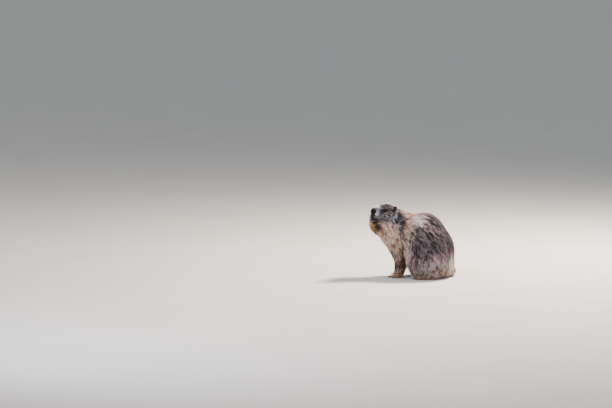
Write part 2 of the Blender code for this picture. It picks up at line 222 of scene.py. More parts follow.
def whiskerMaterial():
    # Vibrissae: stiff, smooth, nearly black hair.
    return newMaterial("whiskerHair", {
        "Base Color": (*linear("#1A1412"), 1), "Roughness": 0.35})[0]


def floorMaterial():
    # Matt seamless studio paper, pale and warm, its tone drifting over about 300 mm.
    made, tree, shader = newMaterial("studioPaper", {"Roughness": 0.9, "Specular IOR Level": 0.1})
    place = addNode(tree, "TexCoord")
    tone = addNode(tree, "TexNoise", {"Scale": 3.0, "Detail": 2.0},
                   {"Vector": place.outputs["Object"]})
    join(tree, shader, {"Base Color": addTones(tree, tone.outputs["Fac"], "#D3D1CE", "#DDDBD8")})
    return made


coatLook = coatMaterial("guardHair", 0.55, 0.0)
hideLook = coatMaterial("underfurHide", 0.8, 0.6)
eyeLook = eyeMaterial()

# Markings: the same named patches colour the skin and every tuft.
# Each has its middle and half sizes in mm, its softness, the colours at the root, along the hair
# and at the tip, and the share of tufts with dark tips. A later patch lies over an earlier one,
# and a patch whose middle is on the left lies on both sides.
flank = ("#191414 #4C413E #B9AAA0", 0.48)
bodyMarks = {
    "back": ((0, 75, 250), (80, 100, 42), 0.7, "#20181B #4C3D3F #88767A", 0.34),
    "withers": ((0, -10, 256), (66, 50, 32), 0.6, "#553F36 #B28D7C #EFCCC0", 0.16),
    "rump": ((0, 160, 160), (100, 60, 85), 0.7, "#1D1516 #433737 #7E6D6A", 0.4),
    "neckGold": ((68, 0, 203), (28, 18, 40), 0.6, "#644D3E #D8B08D #FFF7D8", 0.22),
    "shoulderCream": ((62, 42, 227), (36, 38, 20), 0.5, "#C9A895 #FFF1E0 #FFFFFF", 0.04),
    "saddle": ((46, 92, 223), (28, 28, 16), 0.5, "#141012 #3F322F #7F6E69", 0.52),
    "shoulderSide": ((80, -45, 140), (40, 38, 60), 0.6, "#3E3026 #AA8C6E #EFD9BC", 0.24),
    "haunchRear": ((94, 112, 132), (45, 34, 46), 0.8, "#0C080A #262020 #6C6261", 0.56),
    "haunchDark": ((105, 46, 125), (45, 50, 50), 0.9, "#100E11 #292427 #807A7A", 0.6),
    "haunchFront": ((90, -6, 90), (40, 16, 60), 0.6, "#524237 #BCA58F #EADCCD", 0.08),
    # painted shade: a dark band in the crease between the foreleg and the haunch
    "creaseShade": ((80, -26, 110), (30, 5.5, 50), 0.8, "#241A14 #644731 #997351", 0.4),
    "haunchHem": ((95, 70, 30), (60, 90, 34), 0.7, "#1D1817 #6A5E5A #ABA3A2", 0.22),
    "hemRear": ((97, 116, 66), (30, 26, 30), 0.8, "#2A2120 #85736F #C2B5B4", 0.16),
    # painted rim light: a near-white band along the rump's back edge
    "rumpRimLight": ((34, 176, 40), (36, 27, 42), 0.6, "#A48F80 #F2E2D2 #FFFFFE", 0.06),
    "heel": ((78, 132, 24), (28, 22, 17), 0.6, "#3A2A20 #7A5F49 #B49A80", 0.2),
    "belly": ((0, 0, 50), (70, 110, 35), 0.5, "#5A3F28 #9C7148 #C79B68", 0.05),
    "chest": ((0, -100, 120), (60, 50, 55), 0.6, "#54402F #AC8A66 #DDC09A", 0.12),
    "foreleg": ((42, -56, 52), (36, 36, 48), 0.5, "#3E2E23 #816C55 #A49481", 0.08),
    # dark elbow fur, with painted shadow of the body on the foreleg's rear
    "elbow": ((60, -22, 62), (22, 14, 30), 0.7, "#160F0C #3F2A1D #6A4D36", 0.4),
    "forefoot": ((42, -70, 8), (30, 45, 22), 0.4, "#5A4632 #A78A66 #CDB48D", 0.06),
    # tan hind feet, darkened slightly as painted shade under the haunch
    "hindfoot": ((82, 30, 2), (30, 60, 16), 0.4, "#453426 #8D7052 #B49774", 0.08),
    "neckTan": ((48, -88, 176), (55, 50, 46), 0.6, "#7D614E #F9CCA9 #FFFFF6", 0.14),
    "neckBand": ((70, -29, 198), (26, 12, 42), 0.7, "#171416 #473E3D #867D7B", 0.5),
    "throat": ((10, -162, 200), (56, 34, 40), 0.6, "#5A3A20 #B98A5E #EFCBA0", 0.06),
    # painted shade under the lower jaw
    "underJawShade": ((39, -129, 193), (22, 21, 23), 0.6, "#16110D #3E3123 #5D4D3C", 0.26),
    "rustStrip": ((38, -112, 170), (14, 12, 20), 0.8, "#4E311F #A97754 #D5AA8A", 0.08),
    "tail": ((-85, 140, 10), (70, 60, 60), 0.5, "#2A211D #594537 #8F7862", 0.34),
    "tailRoot": ((-24, 162, 28), (46, 30, 30), 0.8, "#5A483B #A38A74 #E6D3BF", 0.16),
    "tailTip": ((-128, 72, 10), (30, 48, 50), 0.4, "#120F0E #231C1A #352C28", 0.6),
}
headMarks = {  # forward, left and up in the head's frame
    "nape": ((-45, 0, 20), (40, 60, 34), 0.6, "#3A3029 #907A67 #DCCBB5", 0.28),
    "cheek": ((8, 52, -22), (36, 30, 28), 0.6, "#141217 #5C5860 #F4F8FF", 0.5),
    "behindEar": ((-11, 70, 0), (14, 20, 22), 0.7, "#0B0A10 #22222C #70727C", 0.62),
    "crown": ((6, 0, 36), (40, 38, 18), 0.8, "#050407 #0F0D14 #262431", 0.75),
    "temple": ((2, 37, 14), (22, 20, 20), 0.7, "#110F13 #2D272D #7F7A89", 0.58),
    "browBrown": ((24, 32, 10), (17, 14, 14), 0.8, "#150F0F #362927 #675651", 0.44),
    "eyeBand": ((49, 22, -4), (13, 16, 11), 0.7, "#131015 #2B242B #584E57", 0.62),
    "underEye": ((24, 38, -12), (16, 14, 8), 0.7, "#2A211C #6A574A #B3A08E", 0.34),
    # painted glint: a pale spot on the lower lid stands in for the eye's reflection
    "lidGlint": ((35, 33, -4.6), (6.2, 7, 2.6), 0.6, "#4A4648 #9A949A #D6D2DA", 0.08),
    "muzzle": ((54, 22, -20), (18, 16, 16), 0.6, "#2F2B2F #7B767C #CFCCD5", 0.3),
    "noseRing": ((64, 16.5, -9), (7.5, 7.5, 12.5), 0.5, "#8F9099 #CCCED8 #F6F8FF", 0),
    "forehead": ((39, 0, 27), (13, 10, 10), 0.7, "#7F7A7C #C6C1C8 #F0ECF6", 0.06),
    "bridge": ((56, 0, 14), (16, 17, 11), 0.5, "#C9C2BC #F5F1ED #FFFFFF", 0),
    "chin": ((56, 0, -56), (22, 22, 11), 0.5, "#6A4A2E #B58758 #E0BC8E", 0.02),
    "philtrum": ((76, 0, -24), (12, 8, 10), 0.4, "#0F0D0E #2A2426 #564D51", 0.4),
    # dark lips and mouth slit, with painted shadow under the lower lip
    "lipsAndLipShadow": ((62, 0, -44.2), (18, 23, 13.6), 0.6, "#060505 #0D0A0A #191413", 0.5),
    "lowerLip": ((66, 0, -43), (10.5, 12, 2), 0.5, "#5E5858 #9C9494 #C8C0C0", 0.1),
    "noseRim": ((71.5, 0, -6), (10.5, 13, 12.8), 0.15, "#0B0909 #120F0F #1E1A1B", 0.5),
}
markSettings = {
    "wobble": 0.10, "wobbleScales": ((0.016, 5), (0.045, 6)),  # wavelength and seed
    "paleTint": (1.06, 0.97, 1.05), "skyShadeTint": (0.94, 0.96, 1.20),  # dark hair gets a painted bluish tint of sky-lit shade
    "paleFrom": 0.03, "paleTo": 0.40,
    "layerTone": (0.62, 0.70, 0.92),  # roots lie in shade, tips are bleached
}
earPlace = {"ahead": 0.0005, "out": 0.0425, "turn": 52}
earMarks = (  # ahead of the ear's middle in mm, and its three colours
    # the two dark steps are painted shade in the ear's hollow
    (7.5, "#6A564E #A8938A #DACBC4"), (3.0, "#120E0F #1E1819 #332B2C"),
    (-4.0, "#100D12 #1E1B22 #37333A"), (-11.0, "#4A403A #857A72 #CFC5BD"),
)


def marksAt(points):
    colours = np.tile(linearAll(flank[0]), (len(points), 1, 1))
    dark = np.full(len(points), flank[1])
    wobble = sum(waves(points, scale, seed) for scale, seed in markSettings["wobbleScales"])
    for marks, place, axis in ((bodyMarks, inBody(points), 0), (headMarks, inHead(points), 1)):
        for middle, half, soft, tones, share in marks.values():
            local = place.copy()
            if middle[axis] > 0:
                local[:, axis] = np.abs(local[:, axis])
            reach = np.linalg.norm((local / mm - middle) / half, axis=1)
            reach = reach + wobble * markSettings["wobble"] * min(1.0, soft * 2)
            weight = 1 - smoothStep(1 - soft, 1 + soft, reach)
            colours += weight[:, None, None] * (linearAll(tones) - colours)
            dark += weight * (share - dark)
    bright = colours.mean(2, keepdims=True)
    pale = smoothStep(markSettings["paleFrom"], markSettings["paleTo"], bright)
    # Dark hair is tinted blue as painted sky-lit shade; pale hair gets its own tint.
    paleTint, skyShadeTint = (np.array(markSettings[key]) for key in ("paleTint", "skyShadeTint"))
    tint = skyShadeTint + pale * (paleTint - skyShadeTint)
    return colours * np.array(markSettings["layerTone"])[None, :, None] * tint, dark


# The ear's hollow gets painted shade between its pale rim and its grey back.
def markEars(points, colours):  # a pale front rim, a dark hollow and a grey back
    turn = math.radians(earPlace["turn"])
    f, s = inHead(points).T[:2]
    ahead, out = f - earPlace["ahead"], np.abs(s) - earPlace["out"]
    ahead = ahead * math.cos(turn) - out * math.sin(turn)
    steps = [mark[0] * mm for mark in earMarks][::-1]
    for layer in range(3):
        tones = np.array([linearAll(mark[1])[layer] for mark in earMarks])[::-1]
        for axis in range(3):
            colours[:, layer, axis] = np.interp(ahead, steps, tones[:, axis])
    return colours


# The coat's lay, length and depth
ruleFields = ("depth", "length", "width", "density", "rings", "lockArea")
coatRules = {  # in mm; the density is tufts for each mm2, and lockArea is in mm2
    "trunk": (9.0, 24.0, 1.35, 0.27, 3, 20),
    "thigh": (9.0, 23.0, 1.30, 0.30, 3, 18),
    "shoulder": (7.5, 19.0, 1.20, 0.33, 3, 17),
    "neck": (8.0, 20.0, 1.20, 0.33, 3, 17),
    "foreleg": (4.5, 12.0, 0.95, 0.50, 2, 14),
    "forefoot": (1.6, 5.0, 0.62, 1.20, 2, 5),
    "hindfoot": (1.6, 5.4, 0.62, 1.10, 2, 5),
    "head": (3.0, 8.4, 0.72, 1.05, 2, 15),
    "lower_jaw": (2.0, 5.6, 0.62, 1.20, 2, 8),
    "ear": (0.9, 4.0, 0.50, 1.90, 2, 6),
    "tail": (10.0, 28.0, 1.45, 0.42, 3, 38),
    "tail_tip": (8.5, 27.0, 1.45, 0.48, 3, 34),
}
combBody = (  # place and reach in mm and direction of the hair; x counts on both sides
    ((0, -60, 262), 40, (0, 0.95, -0.25)),
    ((0, -10, 250), 40, (0, 1, 0)),
    ((0, 50, 252), 40, (0, 1, -0.12)),
    ((0, 110, 222), 36, (0, 0.75, -0.66)),
    ((0, 155, 165), 36, (0, 0.35, -0.94)),
    ((0, 168, 90), 40, (0, 0.1, -1)),
    ((0, 165, 30), 36, (0, 0.45, -0.9)),
    ((50, -20, 225), 36, (0.12, 0.85, -0.45)),
    ((72, -35, 165), 36, (0.1, 0.5, -0.85)),
    ((72, -45, 115), 32, (0.05, 0.22, -1)),
    ((50, -90, 205), 34, (0.15, 0.7, -0.68)),
    ((45, -110, 165), 34, (0.1, 0.5, -0.88)),
    ((0, -165, 205), 36, (0, 0.1, -1)),
    ((0, -130, 158), 34, (0, 0.45, -0.9)),
    ((0, -95, 115), 34, (0, 0.2, -1)),
    ((80, 40, 195), 38, (0.15, 0.8, -0.58)),
    ((75, 100, 170), 36, (0.12, 0.6, -0.8)),
    ((105, 55, 135), 36, (0.08, 0.42, -0.9)),
    ((100, 10, 110), 30, (0.1, 0.1, -1)),
    ((95, -5, 70), 30, (0.12, 0.02, -1)),
    ((105, 60, 70), 34, (0.1, 0.2, -1)),
    ((95, 55, 20), 30, (0.3, 0.12, -0.9)),
    ((75, 130, 90), 34, (0.1, 0.3, -0.95)),
    ((70, 130, 30), 30, (0.25, 0.45, -0.8)),
    ((0, 0, 55), 40, (0, 1, -0.1)),
    ((42, -50, 60), 24, (0, 0.05, -1)),
    ((42, -52, 30), 16, (0, -0.15, -1)),
)
combFeet = (  # the same for the tufts of the feet
    ((42, -50, 30), 14, (0, -0.3, -1)),
    ((42, -75, 12), 16, (0, -1, -0.25)),
    ((80, 60, 30), 20, (0.05, -0.6, -0.6)),
    ((84, 25, 12), 20, (0, -1, -0.2)),
)
combHead = (  # the same in the head's frame: forward, left, up
    ((64, 0, 8), 13, (-1, 0, 0.35)),
    ((45, 0, 20), 14, (-1, 0, 0.25)),
    ((22, 0, 30), 16, (-1, 0, 0.05)),
    ((-5, 0, 34), 18, (-1, 0, -0.1)),
    ((-40, 0, 28), 24, (-0.95, 0, -0.3)),
    ((60, 20, -12), 11, (-0.95, 0.4, -0.05)),
    ((66, 14, -27), 10, (-0.75, 0.5, -0.45)),
    ((44, 28, -14), 13, (-1, 0.3, -0.15)),
    ((20, 44, -10), 15, (-0.95, 0.12, -0.35)),
    ((0, 48, -20), 18, (-0.85, 0.1, -0.55)),
    ((20, 36, -40), 16, (-0.8, 0.2, -0.6)),
    ((-30, 48, -5), 20, (-0.8, 0.05, -0.6)),
    ((30, 26, 18), 10, (-1, 0.18, 0.2)),
    ((66, 0, -46), 10, (-0.55, 0, -0.85)),
    ((45, 0, -58), 16, (-0.95, 0, -0.35)),
    ((15, 0, -56), 20, (-0.9, 0, -0.5)),
)
tailRoute = ((0, 112, 56), (-10, 136, 36), (-38, 146, 23.5), (-72, 142, 21.5),
             (-101, 122, 20.5), (-120, 92, 19.5), (-128, 62, 15))  # in mm
headShare = 1.6  # how much the head's combs count beside the body's
tailReach = 0.024  # how far each stretch of the tail's route counts, in metres


def ruleOf(kinds, field):  # one of the coat's rules for every one of these kinds
    spot = ruleFields.index(field)
    return np.array([coatRules[key][spot] for key in kinds])


def combSum(local, combs, axis):
    # The mirrored axis counts on both sides; a spot on the middle line has no sideways lay.
    side = np.where(local[:, axis] < 0, -1.0, 1.0)
    total = np.zeros_like(local)
    for spot, reach, way in combs:
        flow = np.tile(unit(np.array(way)), (len(local), 1))
        flow[:, axis] *= side * (1 if spot[axis] else 0)
        away = local / mm
        if spot[axis]:
            away[:, axis] = np.abs(away[:, axis])
        total += np.exp(-(((away - spot) / reach) ** 2).sum(1))[:, None] * flow
    return total


def combAt(points, normals, kind):
    body, head = inBody(points), inHead(points)
    foot = np.isin(kind, ("forefoot", "hindfoot"))[:, None]
    tailShare = np.isin(kind, ("tail", "tail_tip")).astype(float)[:, None]
    total = combSum(body, combBody, 0) + headShare * combSum(head, combHead, 1) @ headTurn.T
    total = np.where(foot, combSum(body, combFeet, 0), total)
    flow = unit(total + 1e-5 * np.array((0, 0.5, -1.0)))
    route = np.array(tailRoute) * mm
    steps = unit(route[1:] - route[:-1])
    middles = (route[1:] + route[:-1]) / 2
    gaps = ((body[:, None, :] - middles[None]) ** 2).sum(2)
    weights = np.exp(-gaps / tailReach ** 2)
    near = np.argmin(gaps, axis=1)
    along = unit((weights[:, :, None] * steps[None]).sum(1) + 1e-6 * steps[near])
    flow = unit(flow * (1 - tailShare) + along * tailShare)
    flow = flow - (flow * normals).sum(1, keepdims=True) * normals
    return unit(flow)


# The skin: lengths are in metres, and what the coat's depth gains or loses is in mm.
skinRules = {"voxel": 0.0017, "swell": 0.0003, "bodyEase": 34, "headEase": 5, "thin": 0.58,
             "sizeEase": 24, "zoneEase": 6, "normalEase": 4, "depthEase": 12, "lowest": 0.0012,
             "muzzleThin": 1.2, "cheekThick": 1.8, "eyeDepth": 1.4}
skinZones = {"muzzle": (0.034, 0.052), "cheekBehind": (0.030, 0.012),  # where each blends
             "cheekBelow": (-0.004, -0.020), "eye": (0.010, 0.018)}
eyeRules = {"radius": 0.0085, "wide": 0.0064, "high": 0.0052, "rim": 0.0005, "sink": 0.0010,
            "axis": (0.35, 1.0, 0.15), "inside": 0.0022, "lid": 0.0005, "reach": 0.022,
            "lowerFlat": 1.12, "ridgeAt": 1.17, "ridgeWide": 0.12, "blend": (1.25, 1.9),
            "bald": (1.10, 1.34), "under": 0.0003, "underFar": 0.0006, "fineReach": 0.0125}
mouth = {"corner": (0.0450, 0.0510), "height": -0.0352, "smile": 0.0022, "half": 0.012,
         "drop": 0.0008, "slitHigh": 0.0013, "slitDeep": 0.0034, "slitBald": 0.35,
         "lipOut": 0.0009, "middle": 0.045, "fineAt": 0.064, "fineBelow": 0.002,
         "fineReach": 0.024}
noseGroove = {"half": 0.0012, "ahead": (0.060, 0.066), "low": (-0.034, -0.030),
              "high": (-0.012, -0.008), "deep": 0.0016}
lipRolls = (  # above the mouth's line, half height and strength
    (0.0040, 0.0022, 0.8), (-0.0060, 0.0028, 1.0), (-0.0135, 0.0030, -1.6),
)
noseRules = {"place": (0.0725, 0.0, -0.0060), "half": (0.0095, 0.0117, 0.0114),
             "barePlace": (0.0715, 0, -0.0060), "bareHalf": (0.0098, 0.0122, 0.0118),
             "bareEdge": (0.88, 0.94), "bed": (0.45, 0.85), "bedFrom": 0.060, "hollow": 0.0080,
             "flatten": 0.16, "groove": 0.16, "dark": 0.9}


def joinedCopy(names, name, swell, material=None):
    shape = bmesh.new()
    for node in names:
        shape.from_mesh(nodes[node].data)
    bmesh.ops.remove_doubles(shape, verts=shape.verts[:], dist=1e-6)
    shape.normal_update()
    for vert in shape.verts:
        vert.co += vert.normal * swell
    return finished(shape, name, material)


def applied(item):
    bpy.context.view_layer.update()
    graph = bpy.context.evaluated_depsgraph_get()
    mesh = bpy.data.meshes.new_from_object(item.evaluated_get(graph))
    item.modifiers.clear()
    old, item.data = item.data, mesh
    bpy.data.meshes.remove(old)


def readAll(items, field, width, kind=np.float32):
    found = np.zeros(len(items) * width, kind)
    items.foreach_get(field, found)
    return found.reshape(-1, width)


def coordsOf(mesh):
    return readAll(mesh.vertices, "co", 3).astype(float)


def normalsOf(mesh):
    return readAll(mesh.vertex_normals, "vector", 3).astype(float)


def edgesOf(mesh):
    return readAll(mesh.edges, "vertices", 2, np.int32)


def trianglesOf(mesh):
    mesh.calc_loop_triangles()
    return readAll(mesh.loop_triangles, "vertices", 3, np.int32)


def moveTo(mesh, points):
    mesh.vertices.foreach_set("co", points.astype(np.float32).ravel())
    mesh.update()


def eased(values, edges, rounds, share=1.0):
    # Each value moves half way to the mean of its neighbours, or that times its own share.
    count = len(values)
    degree = np.bincount(edges.ravel(), minlength=count).astype(float)[:, None]
    values = values.reshape(count, -1).astype(float)
    pull = 0.5 * np.broadcast_to(share, count)[:, None]
    for step in range(rounds):
        mean = np.empty_like(values)
        for axis in range(values.shape[1]):
            mean[:, axis] = (np.bincount(edges[:, 0], values[edges[:, 1], axis], count)
                             + np.bincount(edges[:, 1], values[edges[:, 0], axis], count))
        values += pull * (mean / degree - values)
    return values


def ruleName(node):
    for key in sorted(coatRules, key=len, reverse=True):
        if node.startswith(key):
            return key
    return "head"


def nearestNode(points, names):
    corners, faces, owner = [], [], []
    for number, name in enumerate(names):
        mesh = nodes[name].data
        base = len(corners)
        corners.extend(vert.co.copy() for vert in mesh.vertices)
        faces.extend([base + i for i in face.vertices] for face in mesh.polygons)
        owner.extend([number] * len(mesh.polygons))
    tree = BVHTree.FromPolygons(corners, faces)
    return np.array([owner[tree.find_nearest(Vector(point))[2]] for point in points])


def pointTree(points):
    tree = KDTree(len(points))
    for index, point in enumerate(points):
        tree.insert(point, index)
    tree.balance()
    return tree


claws = sorted(name for name in nodes if "claw" in name)
eyes = ["eye_left", "eye_right"]
flesh = sorted(name for name in nodes if name not in claws + eyes + ["nose_pad"])


def eyeFrames():  # each eye's name, middle, axis, forward way and upward way
    found = []
    for name, side in zip(eyes, (1, -1)):
        low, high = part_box(name)
        f, s, u = eyeRules["axis"]
        axis = (headRotation @ Vector((f, s * side, u))).normalized()
        ahead = headRotation @ Vector((1, 0, 0))
        across = (ahead - ahead.dot(axis) * axis).normalized()
        upward = axis.cross(across) * side
        found.append((name, (low + high) / 2 - axis * eyeRules["sink"], axis, across, upward))
    return found


def awayFromEyes(points):  # the distances to the middle of each eye
    return [np.linalg.norm(points - np.array(eye[1]), axis=1) for eye in eyeFrames()]


def buildSkin():
    raw = joinedCopy(flesh + eyes + ["nose_pad"], "skin", skinRules["swell"])
    fuse = raw.modifiers.new("fuse", "REMESH")
    fuse.mode = "VOXEL"
    fuse.voxel_size = skinRules["voxel"] * 1
    applied(raw)
    mesh = raw.data
    points = coordsOf(mesh)
    edges = edgesOf(mesh)
    kinds = [ruleName(name) for name in flesh]
    kind = np.array([kinds[number] for number in nearestNode(points, flesh)])
    print("skin fused", len(points))
    fine, paw = (eased(np.isin(kind, names).astype(float), edges, skinRules["zoneEase"])[:, 0]
                 for names in (("head", "lower_jaw", "ear"), ("forefoot", "hindfoot")))
    coarse = np.clip(1 - fine - paw, 0, 1)
    points = eased(points, edges, skinRules["bodyEase"] // (1), coarse)
    points = eased(points, edges, skinRules["headEase"], np.maximum(fine, paw))
    moveTo(mesh, points)
    normals = unit(eased(normalsOf(mesh), edges, skinRules["normalEase"]))
    # The skin sinks by the coat's depth: less on the muzzle and round the eyes, more on the cheeks.
    depth = ruleOf(kind, "depth") * mm
    f, u = inHead(points)[:, (0, 2)].T
    isHead = kind == "head"
    muzzle = isHead * smoothStep(*skinZones["muzzle"], f)
    cheek = (isHead * smoothStep(*skinZones["cheekBehind"], f)
             * smoothStep(*skinZones["cheekBelow"], u))
    depth = depth - muzzle * skinRules["muzzleThin"] * mm + cheek * skinRules["cheekThick"] * mm
    eyeNear = np.zeros(len(points))
    for away in awayFromEyes(points):
        eyeNear = np.maximum(eyeNear, 1 - smoothStep(*skinZones["eye"], away))
    depth = eased(depth, edges, skinRules["depthEase"])[:, 0]
    depth = depth * (1 - eyeNear) + eyeNear * skinRules["eyeDepth"] * mm
    points = points - normals * depth[:, None]
    points[:, 2] = np.maximum(points[:, 2], skinRules["lowest"])
    moveTo(mesh, points)
    return raw, kind, depth


skin, skinKind, skinDepth = buildSkin()


def splitFaces(item, kind, depth):
    # Finer faces round the eyes, mouth and nose, so that lids and lips are crisp.
    shape = bmesh.new()
    shape.from_mesh(item.data)
    layerKind = shape.verts.layers.int.new("kind")
    layerDepth = shape.verts.layers.float.new("depth")
    names = sorted(coatRules)
    for vert, key, value in zip(shape.verts, kind, depth):
        vert[layerKind] = names.index(key)
        vert[layerDepth] = value
    centres = [(eye[1], eyeRules["fineReach"]) for eye in eyeFrames()]
    lips = headMatrix @ Vector((mouth["fineAt"], 0, mouth["height"] - mouth["fineBelow"]))
    centres.append((lips, mouth["fineReach"]))
    picked = []
    for edge in shape.edges:
        middle = (edge.verts[0].co + edge.verts[1].co) / 2
        if any((middle - centre).length < reach for centre, reach in centres):
            picked.append(edge)
    bmesh.ops.subdivide_edges(shape, edges=picked, cuts=2, use_grid_fill=True, smooth=0.0)
    bmesh.ops.triangulate(shape, faces=[face for face in shape.faces if len(face.verts) > 4])
    kindOut = np.array([names[vert[layerKind]] for vert in shape.verts])
    depthOut = np.array([vert[layerDepth] for vert in shape.verts])
    shape.to_mesh(item.data)
    shape.free()
    item.data.update()
    return kindOut, depthOut


skinKind, skinDepth = splitFaces(skin, skinKind, skinDepth)


def shapeLids(points):
    # The skin opens over each eye and lies on the ball round it with a raised rim.
    e = eyeRules
    rim, blendTo = e["radius"] + e["rim"], e["blend"][1]
    bald = np.zeros(len(points))
    for centre, axis, across, upward in (eye[1:] for eye in eyeFrames()):
        away = points - np.array(centre)
        reach = np.linalg.norm(away, axis=1)
        a, b = away @ np.array(across), away @ np.array(upward)
        b = np.where(b < 0, b * e["lowerFlat"], b)
        q = np.sqrt((a / e["wide"]) ** 2 + (b / e["high"]) ** 2)  # 1 at the opening's edge
        near = (away @ np.array(axis) > 0) & (reach < e["reach"])
        lift = rim + e["lid"] * np.exp(-((q - e["ridgeAt"]) / e["ridgeWide"]) ** 2)
        blend = 1 - smoothStep(*e["blend"], q)
        wanted = np.maximum(reach, rim - e["under"]) * (1 - blend) + lift * blend
        wanted = np.where(q < blendTo, wanted, np.maximum(reach, rim - e["underFar"]))
        wanted = np.where(q < 1, e["radius"] - e["inside"], wanted)
        target = np.where(near, wanted, reach)
        points = np.array(centre) + away * (target / np.maximum(reach, 1e-9))[:, None]
        bald = np.maximum(bald, near * (1 - smoothStep(*e["bald"], q)))
    return points, bald


def shapeFace():
    # Lids round the eyes, the mouth's slit, the groove under the nose and the nose's bed.
    points, bald = shapeLids(coordsOf(skin.data))
    head = inHead(points)
    f, s, u = head.T
    # The mouth's line dips at the middle and curls up at its corners.
    curl = mouth["smile"] * np.minimum(1, (np.abs(s) / mouth["half"]) ** 2)
    line = mouth["height"] + curl - mouth["drop"]
    onMouth = smoothStep(*mouth["corner"], f)
    slit = onMouth * np.exp(-((u - line) / mouth["slitHigh"]) ** 2)
    lips = onMouth * sum(share * np.exp(-((u - line - above) / high) ** 2)
                         for above, high, share in lipRolls)
    g = noseGroove
    groove = np.exp(-(s / g["half"]) ** 2) * smoothStep(*g["ahead"], f) * (
        smoothStep(*g["low"], u) * (1 - smoothStep(*g["high"], u)))
    ahead = np.maximum(f - mouth["middle"], 0.002)
    outward = unit(np.stack([ahead, s * 0.9, np.zeros_like(s)], 1))
    push = -mouth["slitDeep"] * slit + mouth["lipOut"] * lips - g["deep"] * groove
    head = head + outward * push[:, None]
    # Under the nose pad the skin sinks, so that the nostrils stay open.
    place, half = noseRules["barePlace"], noseRules["bareHalf"]
    under = np.linalg.norm(np.stack([s / half[1], (u - place[2]) / half[2]], 1), axis=1)
    sunk = (1 - smoothStep(*noseRules["bed"], under)) * (f > noseRules["bedFrom"])
    head[:, 0] -= noseRules["hollow"] * sunk
    turn = np.array(headMatrix)
    points = head @ turn[:3, :3].T + turn[:3, 3]
    moveTo(skin.data, points)
    reach = np.linalg.norm((inHead(points) - place) / np.array(half), axis=1)
    bald = np.maximum(bald, slit > mouth["slitBald"])
    return np.maximum(bald, 1 - smoothStep(*noseRules["bareEdge"], reach))


def thinBody(*facts):
    # The coat hides the body's skin, so it keeps its fine faces only on the head and feet.
    old = coordsOf(skin.data)
    keep = np.isin(skinKind, ("head", "lower_jaw", "ear", "forefoot", "hindfoot"))
    group = skin.vertex_groups.new(name="thin")
    group.add(np.flatnonzero(~keep).tolist(), 1.0, "REPLACE")
    thin = skin.modifiers.new("thin", "DECIMATE")
    thin.ratio = skinRules["thin"]
    thin.vertex_group = "thin"
    applied(skin)
    skin.vertex_groups.clear()
    tree = pointTree(old)
    near = np.array([tree.find(point)[1] for point in coordsOf(skin.data)])
    return [fact[near] for fact in facts]


bare = shapeFace()
skinKind, skinDepth, bare = thinBody(skinKind, skinDepth, bare)
coatSizes = np.stack([ruleOf(skinKind, "length"), ruleOf(skinKind, "width")], 1) * mm
coatSizes = eased(coatSizes, edgesOf(skin.data), skinRules["sizeEase"])
print("face shaped", len(skin.data.vertices), "vertices", len(trianglesOf(skin.data)), "triangles")

# The chart: where each tuft's patch lies
chartRules = {"ratio": 0.14, "quickRatio": 0.3, "angle": 66, "margin": 0.004}


def unwrapChart():
    # A light copy of the skin is unwrapped; every root finds its place on it.
    chart = placed("chart", skin.data.copy())
    thin = chart.modifiers.new("thin", "DECIMATE")
    thin.ratio = chartRules["ratio"]
    thin.use_collapse_triangulate = True
    applied(chart)
    bpy.context.view_layer.objects.active = chart
    chart.select_set(True)
    bpy.ops.object.mode_set(mode="EDIT")
    bpy.ops.mesh.select_all(action="SELECT")
    bpy.ops.uv.smart_project(angle_limit=math.radians(chartRules["angle"]),
                             island_margin=chartRules["margin"])
    bpy.ops.object.mode_set(mode="OBJECT")
    mesh = chart.data
    spots = readAll(mesh.uv_layers.active.data, "uv", 2).reshape(-1, 3, 2)
    corners = coordsOf(mesh)
    faces = readAll(mesh.loops, "vertex_index", 1, np.int32).reshape(-1, 3)
    tree = BVHTree.FromPolygons([Vector(point) for point in corners], faces.tolist())
    bpy.data.objects.remove(chart, do_unlink=True)
    bpy.data.meshes.remove(mesh)
    return tree, corners, faces, spots


chartTree, chartCorners, chartFaces, chartSpots = unwrapChart()
print("chart unwrapped", len(chartFaces), "faces")


def chartPlace(points):  # place on the unwrap, nearest point on the skin and its normal
    hits = [chartTree.find_nearest(Vector(point)) for point in points]
    face = np.array([hit[2] for hit in hits])
    spot = np.array([hit[0][:] for hit in hits])
    normal = np.array([hit[1][:] for hit in hits])
    a, b, c = (chartCorners[chartFaces[face, i]] for i in range(3))
    ab, ac, ap = b - a, c - a, spot - a
    d00, d01, d11 = (ab * ab).sum(1), (ab * ac).sum(1), (ac * ac).sum(1)
    d20, d21 = (ap * ab).sum(1), (ap * ac).sum(1)
    scale = np.maximum(d00 * d11 - d01 * d01, 1e-18)
    v, w = (d11 * d20 - d01 * d21) / scale, (d00 * d21 - d01 * d20) / scale
    shares = np.clip(np.stack([1 - v - w, v, w], 1), 0, 1)
    return (chartSpots[face] * shares[:, :, None]).sum(1), spot, normal


def addColours(mesh, colours):
    layer = mesh.color_attributes.new("coatColour", "FLOAT_COLOR", "POINT")
    full = np.column_stack([colours, np.ones(len(colours))])
    layer.data.foreach_set("color", full.astype(np.float32).ravel())


def paintSkin():
    mesh = skin.data
    points = coordsOf(mesh)
    colours = marksAt(points)[0]
    ears = skinKind == "ear"
    colours[ears] = markEars(points[ears], colours[ears])
    under = colours[:, 0] * 0.55 + colours[:, 1] * 0.45  # between the roots and the hair's length
    addColours(mesh, under * (1 - bare[:, None]) + bare[:, None] * linear("#1B1514"))
    mesh.materials.clear()
    mesh.materials.append(hideLook)
    mesh.polygons.foreach_set("use_smooth", np.ones(len(mesh.polygons), bool))
    mesh.polygons.foreach_set("material_index", np.zeros(len(mesh.polygons), np.int32))
    mesh.update()


paintSkin()
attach(skin, "root")
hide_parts(*flesh)
print("skin painted")

